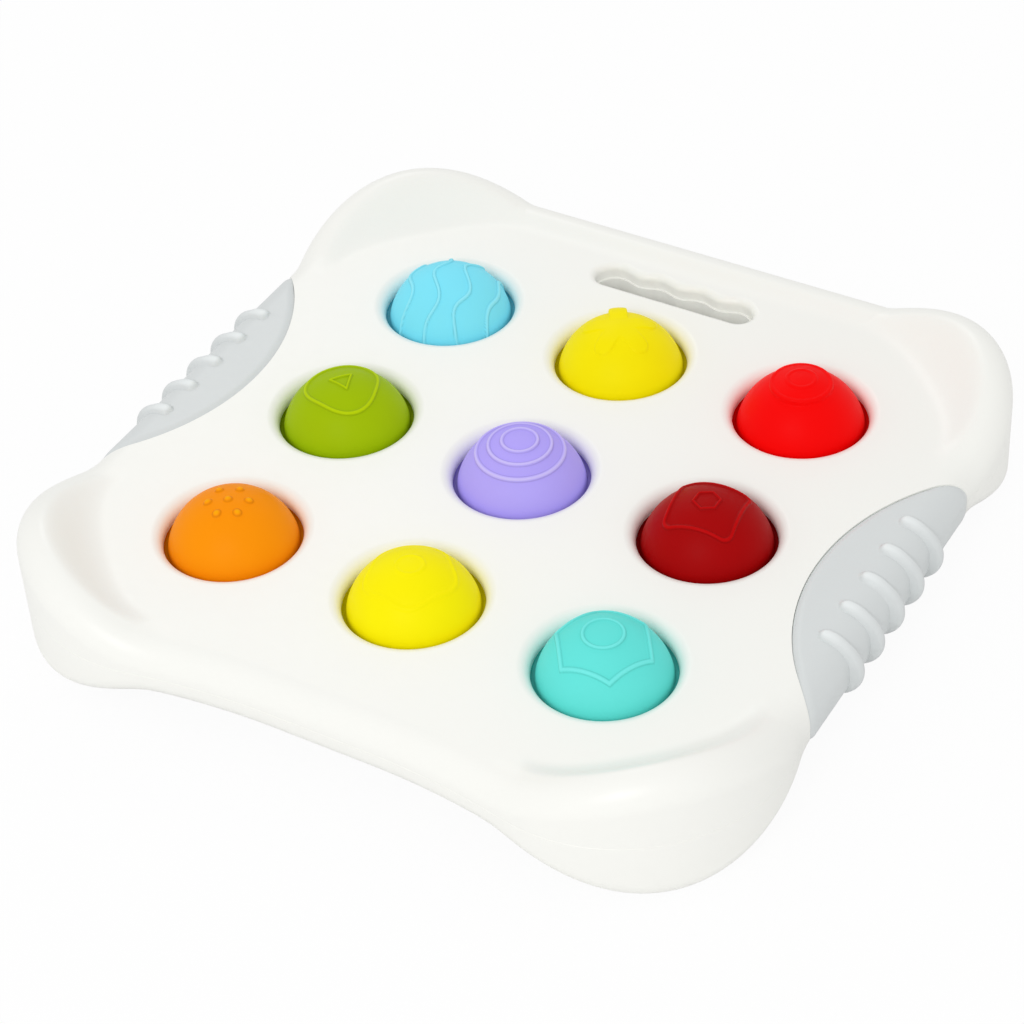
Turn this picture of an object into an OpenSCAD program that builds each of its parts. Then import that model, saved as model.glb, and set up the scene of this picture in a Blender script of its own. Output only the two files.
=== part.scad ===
// Busy board with nine push-through silicone domes, two soft side grips and a carrying slot.
// Millimetres. The base rests on the plane z = 0, the carrying slot is at the back (+Y).

/* [Board] */
// Half of the overall width, measured over the corner lobes
half_size = 133.5; // [130:0.5:137]
// Radius of the round corner lobes, seen from above
lobe_r = 55.4; // [54:0.1:58]
// How far the straight left and right sides sit inside the lobes
side_in = 2; // [1:0.1:4]
// How far the front edge sits inside the lobes
front_in = 6.2; // [3:0.1:8]
// How far the back edge sits inside the lobes
back_in = 0.3; // [0.2:0.1:2]
// Height of the flat deck above the table
deck_z = 34; // [32:0.5:38]
// Height of the flat underside above the table
under_z = 14; // [12:0.5:15]
// Height of the joint between the two shells
split_z = 24; // [22:0.5:25]
// Height that the corner lips rise above the deck
lip_h = 13.6; // [8:0.1:16]
// Rounding of the upper outer edge
top_round = 9; // [8:0.1:9.9]
// Rounding of the lower outer edge
under_round = 7.7; // [6:0.1:9]
// Radius of the flat middle of the deck, where the corner lips begin to rise
dish_r = 137; // [134:0.5:139]

/* [Walls] */
// Wall thickness of the shells' sides
wall = 2.6; // [2:0.1:3]
// Thickness of the deck
deck_t = 3.2; // [3:0.1:3.4]
// Thickness of the underside
under_t = 2.6; // [2:0.1:3]

/* [Domes] */
// Distance between neighbouring domes
pitch = 68; // [66:0.5:70]
// Distance of the middle dome in front of the board's centre
grid_front = 2; // [0:0.5:4]
// Radius of the round openings in the deck at their narrowest
hole_r = 22.4; // [22:0.1:23]
// Rounding of the openings' upper edge
hole_round = 4.6; // [3:0.1:4.8]
// Thickness of the deck around each opening
rim_t = 5; // [4.9:0.1:5.5]
// Radius of the outside of each dome
dome_r = 21.4; // [21:0.1:22]
// Height of the plain dome above the deck
dome_h = 12.4; // [11:0.1:14]
// Thickness of the flexible skirt
skirt_t = 1.4; // [1.2:0.1:2]
// Thickness of the pressed crown
crown_t = 2.2; // [1.6:0.1:3]
// Height above the deck at which the skirt ends and the crown begins
crown_z = 4.4; // [4:0.1:6]
// Thickness of the clamped flange
flange_t = 2; // [1.6:0.1:2.4]
// Outer radius of the clamped flange
flange_r = 26.6; // [26:0.1:27.5]

/* [Figures on the domes] */
// Width of the raised lines
relief_w = 1.5; // [1:0.1:2]
// Height of the raised lines and dots
relief_h = 0.9; // [0.4:0.1:1.2]
// Height of the flower on the lemon dome
flower_h = 1.5; // [0.8:0.1:2]
// Distance that a petal reaches from the middle of the dome
petal_l = 13; // [10:0.5:15]
// Width of a petal
petal_w = 6.2; // [4:0.1:7]
// Height of the disc on the red dome
disc_h = 1.2; // [0.6:0.1:1.6]
// Radius of the disc on the red dome
disc_r = 10.2; // [8:0.1:12]
// Distance between the waves on the blue dome
wave_gap = 10; // [8:0.5:12]
// How far a wave on the blue dome swings to each side
wave_swing = 2.3; // [1:0.1:3]

/* [Carrying slot] */
// Length of the slot
slot_l = 61; // [50:1:70]
// Distance of the slot's straight front wall behind the board's centre
slot_y = 99.8; // [98:0.1:102]
// Mean width of the slot
slot_w = 10.6; // [10:0.1:13]
// Depth of the finger waves in the slot's rear wall
wave_d = 0.9; // [0:0.1:1.2]
// Length of one finger wave
wave_l = 15.6; // [14:0.1:18]
// Rounding of the slot's edges
slot_round = 2.4; // [1:0.1:3]

/* [Grips] */
// Radius of the grip's outline, seen from above
grip_r = 89; // [80:1:100]
// Distance of the grip's inner edge from the board's centre line
grip_x = 106.8; // [104:0.1:112]
// Thickness of the soft grip
grip_t = 2.2; // [1.6:0.1:2.6]
// How far the grip stands proud of the shells
grip_proud = 0.4; // [0.2:0.1:0.6]
// Number of ribs on each grip
rib_n = 5; // [3:1:6]
// Distance between neighbouring ribs
rib_pitch = 15; // [13:0.5:16]
// Thickness of a rib
rib_t = 5; // [4:0.1:7]
// Radius of a rib's round profile
rib_r = 11; // [10:0.1:12]
// How far a rib stands out beyond the side of the board
rib_out = 4; // [2:0.1:5]

/* [Screws] */
// Radius of the screw's head
head_r = 2.8; // [2.5:0.1:3.2]
// Radius of the screw's shank
shank_r = 1.4; // [1.2:0.1:1.6]
// Length of the screw under its head
screw_l = 9; // [8:0.5:10]

/* [Hidden] */
dome_names = ["blue", "lemon", "red", "green", "purple", "maroon", "orange", "yellow", "teal"];
$fn = 48;

shell_color = [0.96, 0.96, 0.94];
grip_color = [0.80, 0.82, 0.82];
screw_color = [0.72, 0.73, 0.75];
dome_colors = [
    [0.30, 0.78, 0.95], [0.90, 0.84, 0.00], [0.95, 0.05, 0.03],
    [0.60, 0.74, 0.05], [0.68, 0.62, 0.96], [0.62, 0.02, 0.03],
    [1.00, 0.56, 0.02], [1.00, 0.88, 0.02], [0.33, 0.87, 0.82]
];

lobe_c = half_size - lobe_r;
side_x = half_size - side_in;
tip_r = lobe_c * sqrt(2) + lobe_r;
lip_start = 143.6;
side_fillet = 45;
front_fillet = 250;
fillet_steps = 3;
lobe_steps = 14;
edge_steps = 5;
rise_steps = 4;
reach = 400;
fit_gap = 0.05;
seam_gap = 0.3;

crown_cut = deck_z + crown_z;
dome_cz = deck_z + dome_h - dome_r;
crown_r = sqrt(pow(dome_r, 2) - pow(crown_cut - dome_cz, 2));
flange_top = deck_z - rim_t;
flange_bottom = flange_top - flange_t;
flange_in = dome_r - 1.1;
collar_r = flange_r + seam_gap + 2;
under_hole_r = hole_r - 0.7;
under_edge = 2;
seat_t = 2.8;
collar_h = 4;
sleeve_t = 2.2;
boss_r = 3.8;
post_r = 4.8;
boss_bottom = under_z + 6;
head_h = 2;
head_seat = under_z + 3.6;
flat_share = 0.9;
backing_t = 2.5;
backing_rim = 2.7;
sunk = 0.4;

// Places of the domes, in the order of their names
function dome_place(k) = [(k % 3 - 1) * pitch, (1 - floor(k / 3)) * pitch - grid_front];

// Places of the screws: between the domes, beside the outer domes, and along the front and back
screw_places = concat(
    [for (x = [-1, 1], y = [-1, 1]) [x * pitch / 2, y * pitch / 2 - grid_front]],
    [for (x = [-1, 1], y = [-1, 1]) [x * 1.5 * pitch, y * pitch / 2 - grid_front]],
    [for (x = [-1, 1]) [x * pitch / 2, -1.53 * pitch]],
    [for (x = [-1, 1]) [x * (slot_l / 2 + 15), 1.53 * pitch]]
);

// Outline of the board as [x, y, normal x, normal y]: four lobes joined by hollow fillets
function turn(inset, fillet) = acos((half_size - inset + fillet - lobe_c) / (lobe_r + fillet));
function fillet_foot(inset, fillet) = lobe_c - (lobe_r + fillet) * sin(turn(inset, fillet));
function quarter(in_x, fx, in_y, fy) = let (ax = turn(in_x, fx), ay = turn(in_y, fy)) concat(
    [for (i = [0 : fillet_steps - 1]) let (t = 180 - ax * i / fillet_steps)
        [half_size - in_x + fx + fx * cos(t), fillet_foot(in_x, fx) + fx * sin(t), -cos(t), -sin(t)]],
    [for (i = [0 : lobe_steps]) let (t = -ax + (90 + ax + ay) * i / lobe_steps)
        [lobe_c + lobe_r * cos(t), lobe_c + lobe_r * sin(t), cos(t), sin(t)]],
    [for (i = [1 : fillet_steps]) let (t = ay - 90 - ay * i / fillet_steps)
        [fillet_foot(in_y, fy) + fy * cos(t), half_size - in_y + fy + fy * sin(t), -cos(t), -sin(t)]]
);
function flip(list, sx, sy) = [for (p = list) [p[0] * sx, p[1] * sy, p[2] * sx, p[3] * sy]];
function reversed(list) = [for (i = [len(list) - 1 : -1 : 0]) list[i]];
back_quarter = quarter(side_in, side_fillet, back_in, side_fillet);
front_quarter = quarter(side_in, side_fillet, front_in, front_fillet);
outline = concat(
    back_quarter, reversed(flip(back_quarter, -1, 1)),
    flip(front_quarter, -1, -1), reversed(flip(front_quarter, 1, -1))
);

// How far a corner rises, or a foot drops, at a point of the outline: 0 along the sides, 1 at the tips
function rise(p) = pow(max(0, (norm([p[0], p[1]]) - lip_start) / (tip_r - lip_start)), 1.6);
function ease(s) = s * s * (3 - 2 * s);
function inset_point(p, d) = [p[0] - d * p[2], p[1] - d * p[3]];
function valley_point(p, rounding) = let (e = inset_point(p, rounding))
    e * min(dish_r, flat_share * norm(e)) / norm(e);

// Rings of one face of a half shell, from its open edge up over the rounding to the flat middle
function face_rings(level, base, rounding, height, spread, side_t, flat_t) = concat(
    [[for (p = outline) let (q = inset_point(p, side_t)) [q[0], q[1], base]]],
    [for (k = [0 : edge_steps]) let (t = 90 * k / edge_steps)
        [for (p = outline)
            let (q = inset_point(p, rounding - (rounding - side_t) * cos(t)))
            [q[0], q[1], level + height * rise(p) - rounding + (rounding - flat_t) * sin(t)]]],
    [for (k = [1 : rise_steps]) let (s = 1 - k / rise_steps)
        [for (p = outline)
            let (e = inset_point(p, rounding), v = valley_point(p, rounding), q = v + (e - v) * s)
            [q[0], q[1], level - flat_t + height * rise(p) * ease(min(1, s * spread))]]]
);

// A half shell is closed by its flat outer and inner middle and by the rim between the two faces
module half_shell(outer, inner) {
    n = len(outline);
    m = len(outer);
    inner_start = n * m;
    function side(start, k, i) = start + k * n + i % n;
    function walls(start, flipped) = [for (k = [0 : m - 2], i = [0 : n - 1])
        let (a = side(start, k, i), b = side(start, k + 1, i),
            c = side(start, k + 1, i + 1), d = side(start, k, i + 1))
        each flipped ? [[a, c, b], [a, d, c]] : [[a, b, c], [a, c, d]]];
    points = [for (ring = concat(outer, inner)) each ring];
    outer_cap = [for (i = [n - 1 : -1 : 0]) (m - 1) * n + i];
    inner_cap = [for (i = [0 : n - 1]) inner_start + (m - 1) * n + i];
    rim = [for (i = [0 : n - 1])
        let (a = side(0, 0, i), b = side(0, 0, i + 1),
            c = side(inner_start, 0, i + 1), d = side(inner_start, 0, i))
        each [[a, b, c], [a, c, d]]];
    polyhedron(points, concat(walls(0, false), walls(inner_start, true), [outer_cap, inner_cap], rim));
}

// Outline of the carrying slot: round ends, a straight front wall and finger waves in the rear wall
function slot_outline(grow) = let (
    r = slot_w / 2,
    c = slot_l / 2 - r,
    ends = 8,
    waves = 24,
    base = concat(
        [for (i = [0 : ends]) let (t = -90 + 180 * i / ends)
            [c + r * cos(t), r * sin(t), cos(t), sin(t)]],
        [for (i = [1 : waves - 1]) [c - 2 * c * i / waves, r, 0, 1]],
        [for (i = [0 : ends]) let (t = 90 + 180 * i / ends)
            [-c + r * cos(t), r * sin(t), cos(t), sin(t)]]
    )
) [for (p = base) [
    p[0] + grow * p[2],
    slot_y + r + p[1] + grow * p[3] - wave_d * cos(360 * p[0] / wave_l) * max(0, p[3])
]];

// Cutter for the slot from the joint of the shells to past one face, with a rounded edge
module slot_cutter(from, level, edge, steps) {
    rings = concat(
        [[from, 0]],
        [for (k = [0 : steps]) let (t = 90 * k / steps)
            [level - edge + edge * sin(t), edge - edge * cos(t)]],
        [[level + edge, edge]]
    );
    n = len(slot_outline(0));
    m = len(rings);
    points = [for (ring = rings) each [for (p = slot_outline(ring[1])) [p[0], p[1], ring[0]]]];
    walls = [for (k = [0 : m - 2], i = [0 : n - 1])
        let (a = k * n + i, b = a + n, d = k * n + (i + 1) % n, c = d + n)
        each [[a, b, c], [a, c, d]]];
    bottom = [for (i = [0 : n - 1]) i];
    top = [for (i = [n - 1 : -1 : 0]) (m - 1) * n + i];
    polyhedron(points, concat(walls, [bottom, top]));
}

// Cutter for a round opening with a rounded edge at one face
module hole_cutter(r, edge, from, level) {
    rotate_extrude($fn = 96) union() {
        translate([0, from]) square([r, level + 1 - from]);
        difference() {
            translate([r - 1, level - edge]) square([edge + 1, edge + 1]);
            translate([r + edge, level - edge]) circle(edge);
        }
    }
}

// Side view of the board's rounded edge where a grip sits, drawn in by d all round
module nose_profile(d) {
    root = 60;
    top_c = [side_x - top_round, deck_z - top_round];
    under_c = [side_x - under_round, under_z + under_round];
    translate([root, under_z + d]) square([under_c[0] - root, under_c[1] - under_z - d]);
    translate([root, top_c[1]]) square([top_c[0] - root, top_round - d]);
    translate([root, under_c[1] - fit_gap])
        square([side_x - d - root, top_c[1] - under_c[1] + 2 * fit_gap]);
    translate(top_c) circle(top_round - d);
    translate(under_c) circle(under_round - d);
}
module nose(d) {
    rotate([90, 0, 0]) linear_extrude(2 * half_size, center = true) nose_profile(d);
}
module grip_lens(r) {
    translate([grip_x + grip_r, 0, -1]) cylinder(h = deck_z + 20, r = r, $fn = 128);
}
module both_sides() {
    children();
    mirror([1, 0, 0]) children();
}

// Wall behind each grip, and the shallow seat cut into it
module grip_backing() {
    both_sides() intersection() {
        difference() {
            nose(1);
            nose(grip_t + backing_t);
        }
        grip_lens(grip_r + backing_rim);
    }
}
module grip_seat() {
    both_sides() difference() {
        grip_lens(grip_r);
        nose(grip_t + fit_gap);
    }
}
module above_split() {
    translate([-reach / 2, -reach / 2, split_z]) cube([reach, reach, 60]);
}
module below_split() {
    translate([-reach / 2, -reach / 2, split_z - 60]) cube([reach, reach, 60]);
}

module top_shell() {
    outer = face_rings(deck_z, split_z, top_round, lip_h, 1, 0, 0);
    inner = face_rings(deck_z, split_z, top_round, lip_h, 1, wall, deck_t);
    color(shell_color) difference() {
        union() {
            half_shell(outer, inner);
            intersection() {
                grip_backing();
                above_split();
            }
            translate([0, 0, split_z]) linear_extrude(deck_z - split_z - 1)
                polygon(slot_outline(sleeve_t));
            for (p = screw_places) translate([p[0], p[1], boss_bottom])
                cylinder(h = deck_z - boss_bottom - 1, r = boss_r);
            for (k = [0 : 8]) translate(dome_place(k)) difference() {
                translate([0, 0, flange_top - collar_h])
                    cylinder(h = collar_h + rim_t - 1, r = collar_r, $fn = 96);
                translate([0, 0, flange_top - collar_h - 1])
                    cylinder(h = collar_h + 1, r = flange_r + seam_gap, $fn = 96);
            }
        }
        for (k = [0 : 8]) translate(dome_place(k)) hole_cutter(hole_r, hole_round, split_z, deck_z);
        slot_cutter(split_z - 1, deck_z, slot_round, 4);
        for (p = screw_places) translate([p[0], p[1], boss_bottom - 1])
            cylinder(h = screw_l + 1, r = shank_r + fit_gap);
        grip_seat();
    }
}

module bottom_shell() {
    foot = under_z + 0.5;
    outer = face_rings(-under_z, -split_z, under_round, foot, 1.5, 0, 0);
    inner = face_rings(-under_z, -split_z, under_round, foot, 1.5, wall, under_t);
    color(shell_color) difference() {
        union() {
            mirror([0, 0, 1]) half_shell(outer, inner);
            intersection() {
                grip_backing();
                below_split();
            }
            translate([0, 0, under_z + 1]) linear_extrude(split_z - under_z - 1)
                polygon(slot_outline(sleeve_t));
            for (p = screw_places) translate([p[0], p[1], under_z + 1])
                cylinder(h = boss_bottom - under_z - 1, r = post_r);
            for (k = [0 : 8]) translate(dome_place(k)) translate([0, 0, under_z + 1])
                cylinder(h = flange_bottom - under_z - 1, r = under_hole_r + seat_t, $fn = 96);
        }
        for (k = [0 : 8]) translate(dome_place(k)) mirror([0, 0, 1])
            hole_cutter(under_hole_r, under_edge, -deck_z, -under_z);
        mirror([0, 0, 1]) slot_cutter(-split_z - 1, -under_z, slot_round, 3);
        for (p = screw_places) translate([p[0], p[1], 0]) {
            cylinder(h = head_seat, r = head_r + 0.4);
            cylinder(h = deck_z - 4, r = shank_r + 0.3);
        }
        grip_seat();
        translate([-reach / 2, -reach / 2, -5]) cube([reach, reach, 5]);
    }
}

// A soft grip wraps the board's edge and carries round ribs for the fingers
module rib() {
    rotate([90, 0, 0]) rotate_extrude() {
        translate([0, -rib_t / 2]) square([rib_r - rib_t / 2, rib_t]);
        intersection() {
            translate([rib_r - rib_t / 2, 0]) circle(rib_t / 2);
            translate([0, -rib_t]) square([2 * rib_r, 2 * rib_t]);
        }
    }
}
module grip() {
    color(grip_color) intersection() {
        difference() {
            union() {
                nose(-grip_proud);
                for (k = [0 : rib_n - 1])
                    translate([side_x + rib_out - rib_r, 0, (deck_z + under_z) / 2])
                        translate([0, (k - (rib_n - 1) / 2) * rib_pitch, 0]) rib();
            }
            nose(grip_t);
        }
        grip_lens(grip_r - seam_gap);
    }
}
module right_grip() {
    grip();
}
module left_grip() {
    mirror([1, 0, 0]) grip();
}

// Self-tapping screws driven from below into the bosses of the top shell
module case_screws() {
    color(screw_color) for (p = screw_places) translate([p[0], p[1], head_seat]) {
        cylinder(h = screw_l - 0.5, r = shank_r);
        translate([0, 0, -head_h]) difference() {
            cylinder(h = head_h, r = head_r);
            for (a = [0, 90]) rotate([0, 0, a]) translate([-head_r * 0.6, -0.35, -0.1])
                cube([head_r * 1.2, 0.7, 1.1]);
        }
    }
}

// Raised figures on the domes, drawn in plan
module line_ring(r) {
    difference() {
        circle(r + relief_w / 2);
        circle(r - relief_w / 2);
    }
}
module line_polygon(corners, r, start) {
    spread = relief_w / 2 / cos(180 / corners);
    rotate(start) difference() {
        circle(r + spread, $fn = corners);
        circle(r - spread, $fn = corners);
    }
}
// Line round the middle whose radius swells and sinks a number of times
module line_lobes(r, swell, lobes, start) {
    function ring(d) = [for (a = [0 : 10 : 350])
        (r + d + swell * cos(lobes * (a - start))) * [cos(a), sin(a)]];
    difference() {
        polygon(ring(relief_w / 2));
        polygon(ring(-relief_w / 2));
    }
}
module round_square(half, r) {
    square([2 * half, 2 * (half - r)], center = true);
    square([2 * (half - r), 2 * half], center = true);
    for (x = [-1, 1], y = [-1, 1]) translate([x, y] * (half - r)) circle(r);
}
// Four slanting wavy lines, each one shifted along its neighbour
module wave_figure() {
    function wave_x(k, y) = 7 + wave_gap * k - 0.2 * y + wave_swing * cos(360 * (y + 6.5 - 7 * k) / 17.5);
    for (k = [-2 : 1]) polygon(concat(
        [for (y = [-24 : 2 : 24]) [wave_x(k, y) - relief_w / 2, y]],
        [for (y = [24 : -2 : -24]) [wave_x(k, y) + relief_w / 2, y]]
    ));
}
module flower_figure() {
    for (a = [50 : 72 : 338]) rotate(a) {
        translate([0, -petal_w / 2]) square([petal_l - petal_w / 2, petal_w]);
        translate([petal_l - petal_w / 2, 0]) circle(petal_w / 2);
    }
}
module dot_figure() {
    circle(1.4);
    for (a = [30 : 60 : 330]) rotate(a) translate([6.5, 0]) circle(1.4);
}
module square_figure() {
    rotate(7.5) difference() {
        round_square(11 + relief_w / 2, 3 + relief_w / 2);
        round_square(11 - relief_w / 2, 3 - relief_w / 2);
    }
}

// Skin of the dome between two radii, as a body of revolution
module dome_band(outer, inner, low, high) {
    rotate_extrude($fn = 96) intersection() {
        translate([0, dome_cz]) difference() {
            circle(outer);
            circle(inner);
        }
        translate([0, low]) square([outer + 1, high - low]);
    }
}
// A figure drawn in plan, raised by h from the dome between two heights
module raised(h, low, high) {
    intersection() {
        dome_band(dome_r + h, dome_r - sunk, low, high);
        translate([0, 0, low]) linear_extrude(high - low) children();
    }
}
module on_crown(h) {
    raised(h, crown_cut, deck_z + 20) children();
}
module crown_relief(k) {
    if (k == 0) on_crown(relief_h) intersection() {
        wave_figure();
        circle(crown_r - 0.2);
    }
    if (k == 1) on_crown(flower_h) flower_figure();
    if (k == 2) on_crown(disc_h) circle(disc_r);
    if (k == 2) on_crown(disc_h + sunk) line_ring(4.5);
    if (k == 3) on_crown(relief_h) line_polygon(3, 4.3, 80);
    if (k == 3) on_crown(relief_h) line_lobes(11.9, 0.9, 3, 200);
    if (k == 4) on_crown(relief_h) for (r = [5.8, 10.2, 14.3]) line_ring(r);
    if (k == 5) on_crown(relief_h) line_polygon(6, 4.3, 30);
    if (k == 5) on_crown(relief_h) square_figure();
    if (k == 6) on_crown(relief_h) dot_figure();
    if (k == 7) on_crown(relief_h) line_ring(4.4);
    if (k == 7) on_crown(relief_h) line_lobes(14, 0.7, 5, 10);
    if (k == 8) on_crown(relief_h) line_ring(6.2);
    if (k == 8) on_crown(relief_h) line_polygon(6, 15.6, 5);
}
// The pressed middle of a dome
module crown(k) {
    color(dome_colors[k]) translate(dome_place(k)) {
        dome_band(dome_r, dome_r - crown_t, crown_cut, deck_z + 20);
        crown_relief(k);
    }
}
// The flexible wall of a dome, with the flange that the shells clamp
module skirt(k) {
    high = crown_cut - seam_gap;
    color(dome_colors[k]) translate(dome_place(k)) {
        dome_band(dome_r, dome_r - skirt_t, flange_bottom, high);
        rotate_extrude($fn = 96) translate([flange_in, flange_bottom])
            square([flange_r - flange_in, flange_t]);
        if (k == 0) raised(relief_h, flange_top + 1, high) wave_figure();
    }
}

module blue_crown() { crown(0); }
module lemon_crown() { crown(1); }
module red_crown() { crown(2); }
module green_crown() { crown(3); }
module purple_crown() { crown(4); }
module maroon_crown() { crown(5); }
module orange_crown() { crown(6); }
module yellow_crown() { crown(7); }
module teal_crown() { crown(8); }
module blue_skirt() { skirt(0); }
module lemon_skirt() { skirt(1); }
module red_skirt() { skirt(2); }
module green_skirt() { skirt(3); }
module purple_skirt() { skirt(4); }
module maroon_skirt() { skirt(5); }
module orange_skirt() { skirt(6); }
module yellow_skirt() { skirt(7); }
module teal_skirt() { skirt(8); }

top_shell();
bottom_shell();
left_grip();
right_grip();
case_screws();
blue_crown();
lemon_crown();
red_crown();
green_crown();
purple_crown();
maroon_crown();
orange_crown();
yellow_crown();
teal_crown();
blue_skirt();
lemon_skirt();
red_skirt();
green_skirt();
purple_skirt();
maroon_skirt();
orange_skirt();
yellow_skirt();
teal_skirt();
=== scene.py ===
"""Looks of a busy board with nine push-through silicone domes, soft side grips and a carrying slot."""

import math

import bmesh
import bpy
import numpy as np
from mathutils import Matrix, Vector


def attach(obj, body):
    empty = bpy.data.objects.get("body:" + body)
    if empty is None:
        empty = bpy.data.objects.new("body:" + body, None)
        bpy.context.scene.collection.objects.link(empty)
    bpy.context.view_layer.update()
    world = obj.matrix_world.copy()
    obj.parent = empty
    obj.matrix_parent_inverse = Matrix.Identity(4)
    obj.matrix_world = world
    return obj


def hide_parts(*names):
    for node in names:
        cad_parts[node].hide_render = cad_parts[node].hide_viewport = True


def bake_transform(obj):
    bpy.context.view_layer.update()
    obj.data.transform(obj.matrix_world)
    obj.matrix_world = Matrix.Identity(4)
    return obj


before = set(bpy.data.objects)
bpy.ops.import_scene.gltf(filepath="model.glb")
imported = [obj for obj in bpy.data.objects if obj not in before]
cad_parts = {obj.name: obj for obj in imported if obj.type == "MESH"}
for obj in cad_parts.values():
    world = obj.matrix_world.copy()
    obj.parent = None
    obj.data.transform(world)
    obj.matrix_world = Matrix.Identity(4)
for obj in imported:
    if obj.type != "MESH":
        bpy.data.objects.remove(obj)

bl_info = {
    "name": "Busy Board",
    "version": (1, 0, 0),
    "blender": (4, 5, 0),
    "location": "View3D > Sidebar > Busy Board",
    "description": "Dresses a busy board: moulded case, silicone domes, ribbed grips and a studio stage",
    "category": "Add Mesh",
}

MM = 0.001
SHELL_BODY = "board"
DOME_NAMES = ("blue", "lemon", "red", "green", "purple", "maroon", "orange", "yellow", "teal")
LINED = ("blue", "green", "purple", "maroon", "orange", "teal")

# How finely the curved surfaces are divided
LOBE_STEPS = 56
FILLET_STEPS = 10
EDGE_STEPS = 14
RISE_STEPS = 16
HOLE_SIDES = 160
HOLE_STEPS = 14
SLOT_WAVE_STEPS = 120
SLOT_END_STEPS = 20
DOME_SIDES = 320
DOME_RINGS = 110
DOME_INNER_RINGS = 26
GRIP_ROWS = 340
GRIP_COLUMNS = 110
GRIP_BACK_COLUMNS = 14
GRIP_LENS_SIDES = 360
POST_SIDES = 48

# How far joined shapes reach into each other, and the wall of the sleeve around the slot
OVERLAP = 1 * MM
SLEEVE_T = 2.2 * MM


def number(name, description, value, **kind):
    """A number, with its unit or subtype where one fits."""
    return bpy.props.FloatProperty(name=name, description=description, default=value, **kind)


def length(name, description, millimetres):
    """A size of the object, shown in Blender's length unit."""
    return number(name, description, millimetres * MM, unit="LENGTH", precision=4)


def colour(name, description, red, green, blue):
    """A colour written as it looks on screen, from 0 to 255."""
    return bpy.props.FloatVectorProperty(
        name=name, description=description, subtype="COLOR", size=3, min=0, max=1,
        default=[screen_to_linear(channel / 255) for channel in (red, green, blue)])


def share(name, description, value):
    """A plain number from 0 to 1."""
    return number(name, description, value, min=0, max=1, subtype="FACTOR")


def direction(name, description, degrees):
    """An angle, shown in degrees."""
    return number(name, description, math.radians(degrees), subtype="ANGLE")


def screen_to_linear(value):
    """The linear light of one channel of a screen colour."""
    return value / 12.92 if value <= 0.04045 else ((value + 0.055) / 1.055) ** 2.4


class CaseSettings(bpy.types.PropertyGroup):
    """Sizes and colour of the two moulded shells."""
    half_size: length("Half size", "Half of the overall width over the corner lobes", 133.5)
    lobe_r: length("Lobe radius", "Radius of the corner lobes, seen from above", 55.4)
    side_in: length("Side inset", "How far the left and right sides sit inside the lobes", 2)
    front_in: length("Front inset", "How far the front edge sits inside the lobes", 6.2)
    back_in: length("Back inset", "How far the back edge sits inside the lobes", 0.3)
    side_fillet: length("Side fillet", "Radius of the hollow bend beside a lobe", 45)
    front_fillet: length("Front fillet", "Radius of the long hollow bend along the front", 250)
    deck_z: length("Deck height", "Height of the flat deck above the table", 34)
    under_z: length("Underside height", "Height of the flat underside above the table", 14)
    split_z: length("Joint height", "Height of the joint between the two shells", 24)
    lip_h: length("Lip height", "Height that the corner lips rise above the deck", 13.6)
    lip_start: length("Lip start", "Distance from the middle at which the edge begins to rise", 143.6)
    top_round: length("Upper rounding", "Rounding of the upper outer edge", 9)
    under_round: length("Lower rounding", "Rounding of the lower outer edge", 7.7)
    dish_r: length("Flat middle", "Distance from the middle at which the corner slopes begin", 137)
    wall: length("Wall", "Thickness of the sides", 2.6)
    deck_t: length("Deck thickness", "Thickness of the deck", 3.2)
    under_t: length("Underside thickness", "Thickness of the underside", 2.6)
    rim_t: length("Rim thickness", "Thickness of the deck around each opening", 5)
    hole_r: length("Opening radius", "Radius of the openings at their narrowest", 22.7)
    hole_round: length("Opening rounding", "Rounding of the openings' upper edge", 4.1)
    under_hole_r: length("Finger hole radius", "Radius of the finger holes in the underside", 21.7)
    under_edge: length("Finger hole rounding", "Rounding of the finger holes' edge", 2)
    slot_l: length("Slot length", "Length of the carrying slot", 61)
    slot_y: length("Slot place", "Distance of the slot's front wall behind the middle", 99.8)
    slot_w: length("Slot width", "Mean width of the carrying slot", 10.6)
    wave_d: length("Finger wave depth", "Depth of the waves in the slot's rear wall", 0.9)
    wave_l: length("Finger wave length", "Length of one wave in the slot's rear wall", 15.6)
    slot_round: length("Slot rounding", "Rounding of the slot's edges", 2.4)
    ledge: length("Slot ledge", "How far the lower part of the slot's walls stands in", 0.7)
    ledge_z: length("Ledge height", "Height of that ledge above the table", 28.6)
    seam: length("Seam", "Small bevel at the joint of the shells", 0.12)
    head_r: length("Screw head radius", "Radius of the recess around a screw head", 3.2)
    paint: colour("Shell colour", "Warm white of the shells", 249, 249, 244)
    gloss: share("Shell roughness", "Roughness of the satin plastic", 0.38)


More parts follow.
